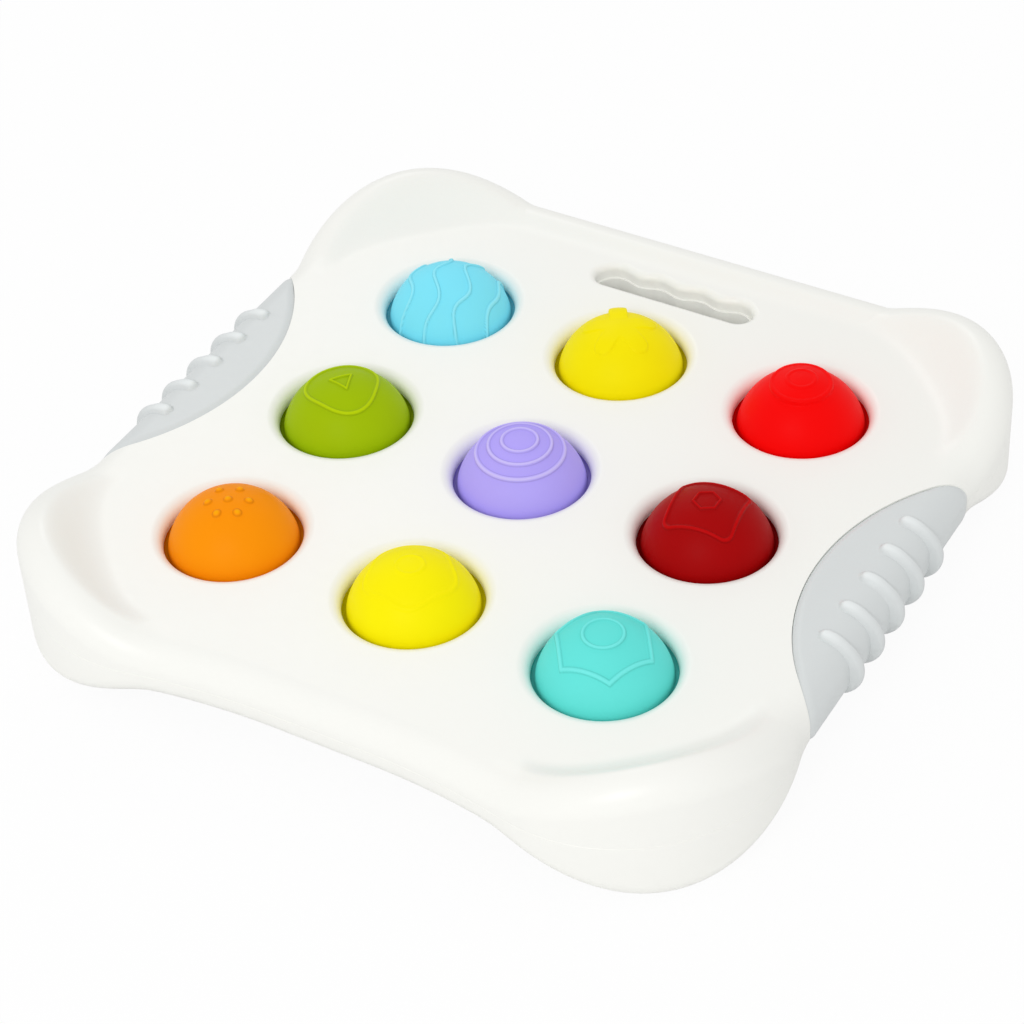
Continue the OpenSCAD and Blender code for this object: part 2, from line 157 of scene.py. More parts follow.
class DomeSettings(bpy.types.PropertyGroup):
    """Sizes and colours of the silicone domes."""
    pitch: length("Pitch", "Distance between neighbouring domes", 68)
    grid_front: length("Grid shift", "Distance of the middle dome in front of the centre", 2)
    dome_r: length("Dome radius", "Radius of the outside of each dome", 21.7)
    dome_h: length("Dome height", "Height of the plain dome above the deck", 12.7)
    skirt_t: length("Skirt thickness", "Thickness of the flexible wall", 1.4)
    crown_t: length("Crown thickness", "Thickness of the stiff middle", 2.2)
    crown_z: length("Crown start", "Height above the deck at which the stiff middle begins", 4.4)
    trough: length("Trough", "Depth of the groove around the foot of the dome", 1.2)
    flange_t: length("Flange thickness", "Thickness of the clamped flange", 2)
    flange_r: length("Flange radius", "Outer radius of the clamped flange", 26.6)
    relief_w: length("Line width", "Width of the raised lines", 1.05)
    relief_h: length("Line height", "Height of the raised lines and dots", 0.7)
    blue: colour("Blue", "Colour of the dome with waves", 130, 233, 255)
    lemon: colour("Lemon", "Colour of the dome with a flower", 252, 235, 0)
    red: colour("Red", "Colour of the dome with a disc", 255, 0, 0)
    green: colour("Green", "Colour of the dome with a triangle", 162, 192, 0)
    purple: colour("Purple", "Colour of the dome with rings", 184, 169, 254)
    maroon: colour("Maroon", "Colour of the dome with a rounded square", 166, 0, 2)
    orange: colour("Orange", "Colour of the dome with dots", 255, 149, 0)
    yellow: colour("Yellow", "Colour of the dome with a soft pentagon", 255, 241, 0)
    teal: colour("Teal", "Colour of the dome with a hexagon", 103, 230, 222)
    gloss: share("Silicone roughness", "Roughness of the matte silicone", 0.5)
    sheen: share("Silicone shine", "Strength of the silicone's reflection", 0.07)


class GripSettings(bpy.types.PropertyGroup):
    """Sizes and colour of the soft ribbed grips."""
    grip_r: length("Outline radius", "Radius of the grip's outline, seen from above", 80)
    grip_x: length("Inner edge", "Distance of the grip's inner edge from the centre line", 105.6)
    grip_t: length("Thickness", "Thickness of the soft grip", 2.2)
    proud: length("Proud", "How far the grip stands proud of the shells", 0.4)
    groove: length("Groove", "Gap between the grip and the shells", 0.15)
    rim_w: length("Rim width", "Width of the band that rounds down to the groove", 2.8)
    rim_drop: length("Rim drop", "How far that band rounds down", 1)
    rib_pitch: length("Rib pitch", "Distance between neighbouring ribs", 14.8)
    rib_t: length("Rib thickness", "Thickness of a rib", 5)
    rib_r: length("Rib radius", "Radius of a rib's round profile", 11)
    rib_out: length("Rib reach", "How far a rib stands out beyond the side", 4)
    rib_blend: length("Rib blend", "Softness of the bend between a rib and the grip", 0.6)
    bead_x: length("Bead start", "Distance of a rib's round inner end from the centre line", 120.3)
    bead_h: length("Bead height", "Height of a rib's round inner end", 1.6)
    paint: colour("Grip colour", "Light grey of the soft grips", 218, 222, 222)
    gloss: share("Grip roughness", "Roughness of the soft grips", 0.42)


class StageSettings(bpy.types.PropertyGroup):
    """Light, floor and camera."""
    sky: number("Sky", "Strength of the even light", 0.78)
    rear: number("Rear lamp", "Power of the soft lamp behind the board", 1.2, unit="POWER")
    front: number("Front lamp", "Power of the soft lamp in front", 4.5, unit="POWER")
    lens: number("Lens", "Focal length", 103.38, unit="CAMERA")
    azimuth: direction("Azimuth", "Turn of the camera to the right of the front", 32.414)
    elevation: direction("Elevation", "Height of the camera above the horizon", 40.627)
    roll: direction("Roll", "Lean of the camera", -3.709)
    distance: length("Distance", "Distance from the camera to its target", 943.4)
    target: bpy.props.FloatVectorProperty(
        name="Target", description="Point that the camera looks at", subtype="TRANSLATION",
        default=(8.12 * MM, -22.14 * MM, 34 * MM))


# Meshes

def new_object(name, data):
    """A new object in the scene."""
    made = bpy.data.objects.new(name, data)
    bpy.context.scene.collection.objects.link(made)
    return made


def round_ring(place, radius, z, turn):
    """A ring round a vertical line; its radius and height may change along it."""
    x, y = place[0] + radius * np.cos(turn), place[1] + radius * np.sin(turn)
    return np.column_stack((x, y, 0 * turn + z))


class Skin:
    """Points and faces of one mesh, gathered from several closed shapes."""

    def __init__(self):
        self.points = []
        self.faces = []

    def loft(self, rings):
        """Joins rings of equally many points, and closes both ends."""
        start = len(self.points)
        count = len(rings[0])
        for ring in rings:
            self.points.extend(map(tuple, ring))
        last = start + count * (len(rings) - 1)
        for low in range(start, last, count):
            high = low + count
            for i in range(count):
                j = (i + 1) % count
                self.faces.append((low + i, low + j, high + j, high + i))
        self.faces.append(tuple(range(start + count - 1, start - 1, -1)))
        self.faces.append(tuple(range(last, last + count)))

    def lathe(self, profile, place, sides):
        """A closed body of revolution about a vertical line, from (radius, height) pairs."""
        turn = np.linspace(0, 2 * math.pi, sides, endpoint=False)
        self.loft([round_ring(place, r, z, turn) for r, z in profile])

    def to_object(self, name):
        """The finished mesh as a scene object with its faces turned outwards."""
        mesh = bpy.data.meshes.new(name)
        mesh.from_pydata(self.points, [], self.faces)
        turned = bmesh.new()
        turned.from_mesh(mesh)
        bmesh.ops.recalc_face_normals(turned, faces=turned.faces)
        turned.to_mesh(mesh)
        turned.free()
        return new_object(name, mesh)


def store(piece, name, values):
    """Keeps one number for each point in the mesh, for the materials to use."""
    stored = piece.data.attributes.new(name, "FLOAT", "POINT")
    stored.data.foreach_set("value", values)


def settle(piece):
    """Applies a piece's modifiers to its mesh."""
    evaluated = piece.evaluated_get(bpy.context.evaluated_depsgraph_get())
    mesh = bpy.data.meshes.new_from_object(evaluated)
    old = piece.data
    piece.modifiers.clear()
    piece.data = mesh
    mesh.name = piece.name
    bpy.data.meshes.remove(old)


def carve(piece, tool, operation):
    """Joins a piece with a tool shape, cuts it away or keeps what they share."""
    cut = piece.modifiers.new(operation.title(), "BOOLEAN")
    cut.operation = operation
    cut.solver = "EXACT"
    cut.object = tool
    settle(piece)
    bpy.data.objects.remove(tool)


def smooth(piece, degrees):
    """Soft shading that follows the large faces and keeps edges sharper than an angle."""
    piece.data.shade_smooth()
    piece.data.set_sharp_from_angle(angle=math.radians(degrees))
    weighted = piece.modifiers.new("Shading", "WEIGHTED_NORMAL")
    weighted.keep_sharp = True
    weighted.weight = 100
    settle(piece)


# Materials

class Finish:
    """A procedural material in the making."""

    def __init__(self, name, rgb, roughness):
        self.material = bpy.data.materials.new(name)
        self.material.use_nodes = True
        self.nodes = self.material.node_tree.nodes
        self.links = self.material.node_tree.links
        self.shader = self.nodes["Principled BSDF"]
        self.shader.inputs["Base Color"].default_value = (*rgb, 1)
        self.shader.inputs["Roughness"].default_value = roughness
        self.rgb, self.roughness = rgb, roughness
        self.tint = None
        self.place = self.nodes.new("ShaderNodeTexCoord").outputs["Object"]

    def grain(self, scale, detail=2):
        """Fine noise over the surface, scale in grains per metre."""
        noise = self.nodes.new("ShaderNodeTexNoise")
        noise.inputs["Scale"].default_value = scale
        noise.inputs["Detail"].default_value = detail
        self.links.new(self.place, noise.inputs["Vector"])
        return noise.outputs["Fac"]

    def spread(self, value, low, high):
        """The same value moved from 0 to 1 into a narrower range."""
        ranged = self.nodes.new("ShaderNodeMapRange")
        ranged.inputs["To Min"].default_value = low
        ranged.inputs["To Max"].default_value = high
        self.links.new(value, ranged.inputs["Value"])
        return ranged.outputs["Result"]

    def mix_in(self, factor, rgb):
        """Mixes another colour into the shader's, and returns the socket of the first one."""
        mix = self.nodes.new("ShaderNodeMix")
        mix.data_type = "RGBA"
        mix.inputs[7].default_value = (*rgb, 1)
        self.links.new(factor, mix.inputs["Factor"])
        self.tint = mix.outputs[2]
        self.links.new(self.tint, self.shader.inputs["Base Color"])
        return mix.inputs[6]

    def mottle(self, scale, depth):
        """Slightly uneven colour, as in a moulded part."""
        first = self.mix_in(self.grain(scale), [min(1, c * (1 + depth)) for c in self.rgb])
        first.default_value = (*[c * (1 - depth) for c in self.rgb], 1)

    def accent(self, attribute, rgb, strength):
        """Another colour where a value stored in the mesh is high, on top of the mottled one."""
        stored = self.nodes.new("ShaderNodeAttribute")
        stored.attribute_name = attribute
        under = self.tint
        self.links.new(under, self.mix_in(self.spread(stored.outputs["Fac"], 0, strength), rgb))

    def uneven_gloss(self, scale, depth):
        """Roughness that wanders a little."""
        value = self.spread(self.grain(scale), self.roughness - depth, self.roughness + depth)
        self.links.new(value, self.shader.inputs["Roughness"])

    def texture(self, scale, height):
        """Tiny bumps left by the mould."""
        bump = self.nodes.new("ShaderNodeBump")
        bump.inputs["Strength"].default_value = 0.5
        bump.inputs["Distance"].default_value = height
        self.links.new(self.grain(scale, 4), bump.inputs["Height"])
        self.links.new(bump.outputs["Normal"], self.shader.inputs["Normal"])


def shell_plastic(case):
    """Warm white satin plastic with the faint grain of an eroded mould."""
    finish = Finish("shell_plastic", case.paint, case.gloss)
    finish.mottle(scale=40, depth=0.006)
    finish.uneven_gloss(scale=300, depth=0.04)
    finish.texture(scale=2600, height=0.03 * MM)
    return finish.material


def silicone(name, domes):
    """Matte silicone, with a painted highlight on the raised lines and painted shade along their feet and
    down in the groove.
    """
    rgb = getattr(domes, name)
    finish = Finish(name + "_silicone", rgb, domes.gloss)
    shade_rgb = [channel * 0.45 for channel in rgb]
    highlight_rgb = [channel + min(0.4 * channel, 0.3 * (1 - channel)) for channel in rgb]
    finish.mottle(scale=90, depth=0.02)
    # Painted shade: darker along the feet of the raised lines and down the dome's foot into the groove
    finish.accent("crease", shade_rgb, strength=0.7)
    # Painted highlight: paler on the crests of the raised lines
    finish.accent("crest", highlight_rgb, strength=0.9)
    finish.uneven_gloss(scale=500, depth=0.05)
    finish.texture(scale=3500, height=0.03 * MM)
    finish.shader.inputs["Specular IOR Level"].default_value = domes.sheen
    return finish.material


def grip_rubber(grip):
    """Soft light grey rubber with a sandy touch, and a painted highlight on the ribs' round inner ends.
    """
    finish = Finish("grip_rubber", grip.paint, grip.gloss)
    highlight_rgb = [min(1, channel * 1.3) for channel in grip.paint]
    finish.mottle(scale=70, depth=0.01)
    # Painted highlight on the ribs' round inner ends
    finish.accent("bead", highlight_rgb, strength=0.7)
    finish.uneven_gloss(scale=400, depth=0.05)
    finish.texture(scale=3000, height=0.06 * MM)
    return finish.material


def screw_steel():
    """Zinc-plated steel with turned marks."""
    finish = Finish("screw_steel", rgb=(0.5, 0.51, 0.53), roughness=0.35)
    finish.shader.inputs["Metallic"].default_value = 1
    finish.mottle(scale=900, depth=0.05)
    finish.uneven_gloss(scale=1500, depth=0.08)
    return finish.material


def paint(piece, material):
    """Gives a piece one material."""
    piece.data.materials.clear()
    piece.data.materials.append(material)


# The case

def dome_place(domes, k):
    """Where the middle of a dome is, seen from above."""
    return (k % 3 - 1) * domes.pitch, (1 - k // 3) * domes.pitch - domes.grid_front


def dome_bores(domes, collar, hole):
    """A collar and a hole at each dome."""
    return [(dome_place(domes, k), collar, hole, HOLE_SIDES) for k in range(len(DOME_NAMES))]


def screw_places(case, domes):
    """Between the domes, beside the outer domes, and along the front and back."""
    half = domes.pitch / 2
    edge_y = 3.06 * half
    beside_slot = case.slot_l / 2 + 15 * MM
    places = [(x * half, y * half - domes.grid_front) for x in (-1, 1, -3, 3) for y in (-1, 1)]
    places += [(x * half, -edge_y) for x in (-1, 1)]
    places += [(x * beside_slot, edge_y) for x in (-1, 1)]
    return places


def quarter(case, in_x, fillet_x, in_y, fillet_y):
    """A quarter of the outline as rows of x, y and outward normal: bend, lobe, bend."""
    middle = case.half_size - case.lobe_r

    def turn(inset, fillet):
        """Angle at which the lobe meets the bend."""
        return math.acos((case.half_size - inset + fillet - middle) / (case.lobe_r + fillet))

    def foot(inset, fillet):
        """Where that bend ends."""
        return middle - (case.lobe_r + fillet) * math.sin(turn(inset, fillet))

    def arc(centre, radius, start, end, steps, sign):
        """Points and normals; sign is -1 on a hollow bend."""
        angle = np.linspace(start, end, steps + 1)
        wave = np.column_stack((np.cos(angle), np.sin(angle)))
        return np.hstack((np.array(centre) + radius * wave, sign * wave))

    turn_x, turn_y = turn(in_x, fillet_x), turn(in_y, fillet_y)
    bend_x = arc((case.half_size - in_x + fillet_x, foot(in_x, fillet_x)), fillet_x,
                 math.pi, math.pi - turn_x, FILLET_STEPS, -1)
    lobe = arc((middle, middle), case.lobe_r, -turn_x, math.pi / 2 + turn_y, LOBE_STEPS, 1)
    bend_y = arc((foot(in_y, fillet_y), case.half_size - in_y + fillet_y), fillet_y,
                 turn_y - math.pi / 2, -math.pi / 2, FILLET_STEPS, -1)
    return np.vstack((bend_x[:-1], lobe, bend_y[1:]))


def outline(case):
    """The whole outline, from the right side round by the back, left and front."""
    back = quarter(case, case.side_in, case.side_fillet, case.back_in, case.side_fillet)
    front = quarter(case, case.side_in, case.side_fillet, case.front_in, case.front_fillet)
    return np.vstack((
        back,
        back[::-1] * (-1, 1, -1, 1),
        front * (-1, -1, -1, -1),
        front[::-1] * (1, -1, 1, -1),
    ))


def ease(s):
    """Smooth step from 0 to 1."""
    return s * s * (3 - 2 * s)


def face_rings(case, level, base, rounding, height, spread, late, side_t=0, flat_t=0):
    """Rings of one face of a shell, from its open edge over the rounding to the flat middle.

    level is the height of the flat middle, base that of the open edge, and height how far the corners
    rise. The slopes to the corners begin on soft lines across them. With late above 1 they begin more
    gently, and with spread above 1 they end early. side_t and flat_t draw an inner face in."""
    rise_power = 1.6
    flat_share, lip_room, lip_speed = 0.95, 0.02, 8
    soft_corner = 10 * MM
    edge = outline(case)
    points, normals = edge[:, :2], edge[:, 2:]
    tip = (case.half_size - case.lobe_r) * math.sqrt(2) + case.lobe_r
    away = np.linalg.norm(points, axis=1)
    rise = np.clip((away - case.lip_start) / (tip - case.lip_start), 0, 1) ** rise_power

    def ring(inset, z):
        """The outline drawn in by inset, at height z."""
        return np.column_stack((points - inset * normals, 0 * away + z))

    rings = [ring(side_t, base)]
    if side_t == 0:
        rings = [ring(case.seam, base), ring(0, base + case.seam)]
    for t in np.linspace(0, math.pi / 2, EDGE_STEPS + 1):
        rings.append(ring(rounding - (rounding - side_t) * math.cos(t),
                          level + height * rise - rounding + (rounding - flat_t) * math.sin(t)))
    brink = points - rounding * normals
    reach = np.linalg.norm(brink, axis=1)
    across = math.sqrt(2) * case.dish_r * reach / np.abs(brink).sum(axis=1)
    widest = reach * (flat_share - lip_room * np.minimum(1, lip_speed * rise))
    inner = (across + widest - np.hypot(across - widest, soft_corner)) / 2
    valley = brink * (inner / reach)[:, None]
    for s in np.linspace(1, 0, RISE_STEPS + 1)[1:]:
        z = level - flat_t + height * rise * ease(min(1, s * spread) ** late)
        rings.append(np.column_stack((valley + (brink - valley) * s, z)))
    return rings


def slot_ring(case, grow, z):
    """The slot's outline: round ends, a straight front wall and finger waves in the rear wall."""
    r = case.slot_w / 2
    c = case.slot_l / 2 - r
    right = np.linspace(-math.pi / 2, math.pi / 2, SLOT_END_STEPS + 1)
    left = right + math.pi
    along = np.linspace(c, -c, SLOT_WAVE_STEPS + 1)[1:-1]
    nx = np.concatenate((np.cos(right), 0 * along, np.cos(left)))
    ny = np.concatenate((np.sin(right), 0 * along + 1, np.sin(left)))
    x = np.concatenate((0 * right + c, along, 0 * left - c)) + r * nx
    waves = case.wave_d * np.cos(2 * math.pi * x / case.wave_l) * np.maximum(0, ny)
    return np.column_stack((x + grow * nx, case.slot_y + r + r * ny + grow * ny - waves, 0 * x + z))


def edge_profile(radius, edge, low, level, side):
    """(radius, height) pairs of a cutter with a rounded mouth; side is 1 upwards and -1 downwards."""
    past = 2 * MM
    arc = [(radius + edge - edge * math.cos(t), level + side * (edge * math.sin(t) - edge))
           for t in np.linspace(0, math.pi / 2, HOLE_STEPS + 1)]
    return [(radius, low)] + arc + [(radius + edge, level + side * past)]


def side_x(case):
    """Distance of the flat of the left and right sides from the middle."""
    return case.half_size - case.side_in


def nose_path(case, d, root):
    """Side view of the board's rounded edge where a grip sits, drawn in by d, from top to bottom."""
    top_x, top_z = side_x(case) - case.top_round, case.deck_z - case.top_round
    low_x, low_z = side_x(case) - case.under_round, case.under_z + case.under_round
    turn = np.linspace(math.pi / 2, 0, EDGE_STEPS + 1)
    top_r, low_r = case.top_round - d, case.under_round - d
    top = np.column_stack((top_x + top_r * np.cos(turn), top_z + top_r * np.sin(turn)))
    low = np.column_stack((low_x + low_r * np.sin(turn), low_z - low_r * np.cos(turn)))
    return np.vstack(([(root, case.deck_z - d)], top, low, [(root, case.under_z + d)]))


def seat_cutters(case, grip):
    """Space that both grips take in the shells."""
    fit_gap, margin = 0.05 * MM, 10 * MM
    reach, root, far = 80 * MM, 90 * MM, case.half_size + 2 * margin
    low, high = -margin, 70 * MM
    path = nose_path(case, grip.grip_t + fit_gap, root)
    around = np.array([(root, low), (far, low), (far, high), (root, high)])
    section = np.vstack((path, around))
    seats, lenses = Skin(), Skin()
    for side in (1, -1):
        seats.loft([np.column_stack((side * section[:, 0], 0 * section[:, 0] + y, section[:, 1]))
                    for y in (-reach, reach)])
        lenses.lathe([(grip.grip_r, low - margin), (grip.grip_r, high + margin)],
                     (side * (grip.grip_x + grip.grip_r), 0), GRIP_LENS_SIDES)
    seat = seats.to_object("grip_seats")
    carve(seat, lenses.to_object("grip_lenses"), "INTERSECT")
    return seat


def shell_rings(case, flat_t, **face):
    """Rings of a hollow shell, over its outer face to the open edge and back over its inner face."""
    return face_rings(case, **face)[::-1] + face_rings(case, **face, side_t=case.wall, flat_t=flat_t)


def build_shell(case, grip, name, rings, bores, sleeve, mouth):
    """One shell. Each bore is a place, a collar, a hole and a number of sides."""
    base, added, taken = Skin(), Skin(), Skin()
    base.loft(rings)
    for place, collar, hole, sides in bores:
        added.lathe(collar, place, sides)
        taken.lathe(hole, place, sides)
    added.loft([slot_ring(case, SLEEVE_T, z) for z in sleeve])
    taken.loft([slot_ring(case, grow, z) for grow, z in mouth])
    shell = base.to_object(name)
    carve(shell, added.to_object("added_shapes"), "UNION")
    carve(shell, taken.to_object("openings"), "DIFFERENCE")
    carve(shell, seat_cutters(case, grip), "DIFFERENCE")
    smooth(shell, degrees=35)
    paint(shell, shell_plastic(case))
    return shell


def build_top_shell(case, domes, grip):
    """Upper shell with rounded openings, raised corner lips and the slot's upper half."""
    deck, under_deck = case.deck_z, case.deck_z - OVERLAP
    rings = shell_rings(case, case.deck_t, level=deck, base=case.split_z, rounding=case.top_round,
                        height=case.lip_h, spread=1, late=1.4)
    collar_r = domes.flange_r + grip.groove + 2 * MM
    collar = [(collar_r, deck - case.rim_t), (collar_r, under_deck)]
    hole = edge_profile(case.hole_r, case.hole_round, case.split_z, deck, 1)
    bores = dome_bores(domes, collar, hole)
    mouth = [(-case.ledge, case.split_z - OVERLAP), (-case.ledge, case.ledge_z)]
    mouth += edge_profile(0, case.slot_round, case.ledge_z, deck, 1)
    return build_shell(case, grip, "top_case", rings, bores, (case.split_z, under_deck), mouth)


def build_bottom_shell(case, domes, grip):
    """Lower shell with four corner feet, finger holes and screw recesses, made by mirroring its faces."""
    under, over_under = case.under_z, case.under_z + OVERLAP
    rings = shell_rings(case, case.under_t, level=-under, base=-case.split_z, rounding=case.under_round,
                        height=under + 0.5 * MM, spread=1.5, late=1)
    rings = [np.column_stack((ring[:, :2], np.maximum(-ring[:, 2], 0))) for ring in rings]
    collar_r = case.under_hole_r + 2.8 * MM
    collar = [(collar_r, over_under), (collar_r, case.deck_z - case.rim_t - domes.flange_t)]
    hole = edge_profile(case.under_hole_r, case.under_edge, case.deck_z, under, -1)
    bores = dome_bores(domes, collar, hole)
    post_r, post_h, recess_h = 4.8 * MM, 6 * MM, 3.6 * MM
    post = [(post_r, over_under), (post_r, under + post_h)]
    recess = [(case.head_r, 0), (case.head_r, under + recess_h)]
    bores += [(place, post, recess, POST_SIDES) for place in screw_places(case, domes)]
    mouth = edge_profile(-case.ledge, case.slot_round, case.split_z + OVERLAP, under, -1)
    return build_shell(case, grip, "bottom_case", rings, bores, (over_under, case.split_z), mouth)


# Figures on the domes: each gives the height of its relief at points seen from above

# Half the width of a raised line's soft shoulder, and the share of the line width in small figures
SOFT = 0.35 * MM
THIN = 0.8


def ridge(distance, width):
    """1 on a line, falling softly to 0 beyond half its width."""
    t = np.clip((np.abs(distance) - width / 2 + SOFT) / (2 * SOFT), 0, 1)
    return 1 - ease(t)


def segment_distance(x, y, a, b):
    """Distance of points from a straight piece of line."""
    dx, dy = b[0] - a[0], b[1] - a[1]
    t = np.clip(((x - a[0]) * dx + (y - a[1]) * dy) / (dx * dx + dy * dy), 0, 1)
    return np.hypot(x - a[0] - t * dx, y - a[1] - t * dy)


def polygon_distance(x, y, corners, radius, start):
    """Distance of points from the sides of a regular polygon, start in degrees to its first corner."""
    turn = np.radians(start + np.arange(corners + 1) * 360 / corners)
    tips = np.column_stack((radius * np.cos(turn), radius * np.sin(turn)))
    return np.min([segment_distance(x, y, tips[i], tips[i + 1]) for i in range(corners)], axis=0)


def ring_distance(x, y, radius):
    """Distance of points from a circle round the middle."""
    return np.hypot(x, y) - radius


def lobes_distance(x, y, radius, swell, lobes, start):
    """Distance of points from a line round the middle with bows, start in degrees to the first."""
    angle = np.arctan2(y, x) - math.radians(start)
    return np.hypot(x, y) - radius - swell * np.cos(lobes * angle)


def line_relief(domes, *lines):
    """Height of raised lines, each given by the distances from it and its share of the line width."""
    heights = [ridge(distance, domes.relief_w * part) for distance, part in lines]
    return domes.relief_h * np.max(heights, axis=0)


def wave_relief(x, y, domes):
    """Four slanting wavy lines, each one shifted along its neighbour."""
    wave, lean, line_w = 19 * MM, -0.33, domes.relief_w * 0.9
    # Place, swing and shift along the line of each wave, in millimetres
    waves = ((-13.2, 1.8, 10.8), (-2.8, 2.1, 10.7), (7.4, 2.1, 2.7), (17.3, 1, -5.3))
    height = 0 * x
    for start, swing, shift in waves:
        swing = swing * MM
        phase = 2 * math.pi * (y + shift * MM) / wave
        line = start * MM + lean * y + swing * np.cos(phase)
        slope = lean - swing / wave * 2 * math.pi * np.sin(phase)
        height = np.maximum(height, ridge((x - line) / np.hypot(1, slope), line_w))
    return height * domes.relief_h


def flower_relief(x, y, _):
    """Five petals that rise from the middle to their round ends, the rear one taller than the others."""
    petal_w, petal_l = 6.2 * MM, 13 * MM
    rise_start, rise_l = 3 * MM, 6 * MM
    rear_h, other_h = 1.5 * MM, 0.45 * MM
    petals, rear = 5, 122
    height = 0 * x
    for angle in range(rear, rear + 360, 360 // petals):
        turn = math.radians(angle)
        tip = ((petal_l - petal_w / 2) * math.cos(turn), (petal_l - petal_w / 2) * math.sin(turn))
        nearest = segment_distance(x, y, (0, 0), tip)
        along = x * math.cos(turn) + y * math.sin(turn)
        petal_h = rear_h if angle == rear else other_h
        risen = ease(np.clip((along - rise_start) / rise_l, 0, 1))
        height = np.maximum(height, petal_h * risen * ridge(nearest, petal_w))
    return height


def disc_relief(x, y, domes):
    """A raised disc with a thicker rim and a faint ring on it."""
    disc_r, rim_r, ring_r = 10.2 * MM, 9.4 * MM, 4.5 * MM
    disc_h, rim_h, ring_h = 1.1 * MM, 0.4 * MM, 0.3 * MM
    disc = disc_h * ridge(ring_distance(x, y, 0), 2 * disc_r)
    rim = rim_h * ridge(ring_distance(x, y, rim_r), domes.relief_w)
    ring = ring_h * ridge(ring_distance(x, y, ring_r), domes.relief_w)
    return disc + rim + ring


def triangle_relief(x, y, domes):
    """A small triangle inside a soft line of three bows."""
    triangle = polygon_distance(x, y, corners=3, radius=4.3 * MM, start=80)
    bows = lobes_distance(x, y, radius=11.9 * MM, swell=0.9 * MM, lobes=3, start=200)
    return line_relief(domes, (triangle, THIN), (bows, 1))


def rings_relief(x, y, domes):
    """Three rings about one centre."""
    return line_relief(domes, *[(ring_distance(x, y, r * MM), 1) for r in (5.8, 10.2, 14.3)])


def square_relief(x, y, domes):
    """A small hexagon inside a rounded square."""
    half, corner, lean = 11 * MM, 3 * MM, math.radians(7.5)
    u = np.abs(x * math.cos(lean) + y * math.sin(lean)) - half + corner
    v = np.abs(y * math.cos(lean) - x * math.sin(lean)) - half + corner
    square = np.hypot(np.maximum(u, 0), np.maximum(v, 0)) + np.minimum(np.maximum(u, v), 0) - corner
    hexagon = polygon_distance(x, y, corners=6, radius=4.3 * MM, start=30)
    return line_relief(domes, (square, 1), (hexagon, THIN))


def dots_relief(x, y, _):
    """A round dot in the middle and six around it."""
    dot_r, dot_h, circle_r = 1.7 * MM, 1 * MM, 6.5 * MM
    turn = np.radians(np.arange(30, 390, 60))
    centres = [(0, 0)] + list(zip(circle_r * np.cos(turn), circle_r * np.sin(turn)))
    nearest = np.min([np.hypot(x - cx, y - cy) for cx, cy in centres], axis=0)
    return dot_h * np.sqrt(1 - ease(np.clip(nearest / dot_r, 0, 1)))


def pentagon_relief(x, y, domes):
    """A small ring inside a faint line of five bows."""
    faint = 0.4
    ring = ring_distance(x, y, radius=4.4 * MM)
    bows = lobes_distance(x, y, radius=14 * MM, swell=0.7 * MM, lobes=5, start=10)
    return faint * line_relief(domes, (ring, 1), (bows, 1))


def hexagon_relief(x, y, domes):
    """A ring inside a large hexagon."""
    ring = ring_distance(x, y, radius=6.2 * MM)
    hexagon = polygon_distance(x, y, corners=6, radius=15.6 * MM, start=5)
    return line_relief(domes, (ring, 1), (hexagon, 1))


RELIEFS = {
    "blue": wave_relief, "lemon": flower_relief, "red": disc_relief,
    "green": triangle_relief, "purple": rings_relief, "maroon": square_relief,
    "orange": dots_relief, "yellow": pentagon_relief, "teal": hexagon_relief,
}


def popper_rings(case, domes, k):
    """Rings over a dome, round its flange and up inside, and the figure's height on the first ones."""
    place = dome_place(domes, k)
    flange_top = case.deck_z - case.rim_t
    flange_bottom = flange_top - domes.flange_t
    trough_z = flange_top - domes.trough
    centre_z = case.deck_z + domes.dome_h - domes.dome_r
    turn = np.linspace(0, 2 * math.pi, DOME_SIDES, endpoint=False)

    def ball_ring(tilt, radius):
        """A ring on a ball at an angle from straight up."""
        return round_ring(place, radius * math.sin(tilt), centre_z + radius * math.cos(tilt), turn)

    def relief_at(tilt):
        """Height of the figure on such a ring."""
        r = domes.dome_r * math.sin(tilt)
        return RELIEFS[DOME_NAMES[k]](r * np.cos(turn), r * np.sin(turn), domes)

    # The outer skin, closed by a tiny ring at the top
    top_tilt, inner_top_tilt = 0.004, 0.02
    foot = math.acos((trough_z + 0.4 * MM - centre_z) / domes.dome_r)
    tilts = np.linspace(top_tilt, foot, DOME_RINGS)
    reliefs = [relief_at(t) for t in tilts]
    rings = [ball_ring(t, domes.dome_r + relief) for t, relief in zip(tilts, reliefs)]

    # The groove round its foot and the flange that the shells clamp
    foot_bend, wall_gap, wall_lean = 0.3 * MM, 0.2 * MM, 0.3 * MM
    bevel = 0.2 * MM
    profile = [
        (domes.dome_r * math.sin(foot) + foot_bend, trough_z), (case.hole_r - wall_gap, trough_z),
        (case.hole_r + wall_lean, flange_top),
        (domes.flange_r - bevel, flange_top), (domes.flange_r, flange_top - bevel),
        (domes.flange_r, flange_bottom + bevel), (domes.flange_r - bevel, flange_bottom),
    ]
    rings += [round_ring(place, radius, z, turn) for radius, z in profile]

    # The inner skin, which steps in where the stiff middle begins
    inner_r = domes.dome_r - domes.skirt_t
    waist = math.acos((case.deck_z + domes.crown_z - centre_z) / domes.dome_r)
    waist_w = 0.12
    inner_foot = math.acos((flange_bottom - centre_z) / inner_r)
    for tilt in np.linspace(inner_foot, inner_top_tilt, DOME_INNER_RINGS):
        thick = ease(np.clip((waist + waist_w / 2 - tilt) / waist_w, 0, 1))
        rings.append(ball_ring(tilt, inner_r - thick * (domes.crown_t - domes.skirt_t)))
    return rings, np.concatenate(reliefs)


